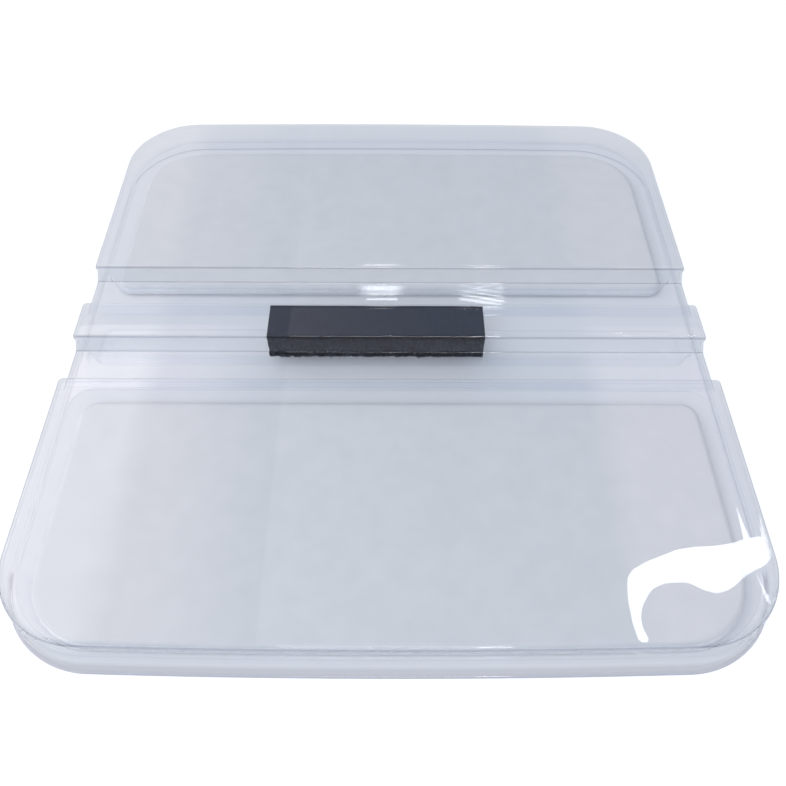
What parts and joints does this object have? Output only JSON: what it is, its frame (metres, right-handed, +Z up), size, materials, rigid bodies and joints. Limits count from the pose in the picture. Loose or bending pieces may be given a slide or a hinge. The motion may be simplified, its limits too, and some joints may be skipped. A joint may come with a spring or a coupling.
{
  "type": "wet palette",
  "caption": "Flat clear wet palette: a lift-off ridged lid with a foam block over a shallow tray whose wells hold damp sponge under palette paper.",
  "frame": {"origin": "middle of the underside, on the surface that the palette stands on", "axes": "+X to the right across the palette, along the ridge; +Y from its front to its back; +Z up"},
  "size_m": [0.3, 0.313, 0.0215],
  "materials": {
    "clear_lid_plastic": "clear, very slightly blue-grey, glossy formed sheet",
    "clear_tray_plastic": "clear glossy formed sheet",
    "adhesive_film": "smooth dark film under the clear plastic",
    "black_foam": "open-cell foam with porous cut faces",
    "pale_sponge": "fine-celled damp sponge",
    "palette_paper": "translucent parchment"
  },
  "bodies": {
    "tray": {"base_tray": "clear_tray_plastic"},
    "lid": {"lid_shell": "clear_lid_plastic", "foam_adhesive_film": "adhesive_film", "foam_block": "black_foam"},
    "front_pad": {"front_sponge": "pale_sponge"},
    "back_pad": {"back_sponge": "pale_sponge"},
    "front_paper": {"front_palette_sheet": "palette_paper"},
    "back_paper": {"back_palette_sheet": "palette_paper"}
  },
  "joints": [
    {"name": "lid_lift", "type": "slide", "parent": "tray", "child": "lid", "axis": [0, 0, 1], "range_m": [0, 0.12]},
    {"name": "front_pad_lift", "type": "slide", "parent": "tray", "child": "front_pad", "axis": [0, 0, 1], "range_m": [0, 0.03]},
    {"name": "back_pad_lift", "type": "slide", "parent": "tray", "child": "back_pad", "axis": [0, 0, 1], "range_m": [0, 0.03]},
    {"name": "front_paper_lift", "type": "slide", "parent": "tray", "child": "front_paper", "axis": [0, 0, 1], "range_m": [0, 0.06]},
    {"name": "back_paper_lift", "type": "slide", "parent": "tray", "child": "back_paper", "axis": [0, 0, 1], "range_m": [0, 0.06]}
  ],
  "couplings": [
    {"joint": "front_pad_lift", "follows": "lid_lift", "ratio": 0.25},
    {"joint": "back_pad_lift", "follows": "lid_lift", "ratio": 0.25},
    {"joint": "front_paper_lift", "follows": "lid_lift", "ratio": 0.5},
    {"joint": "back_paper_lift", "follows": "lid_lift", "ratio": 0.5}
  ]
}
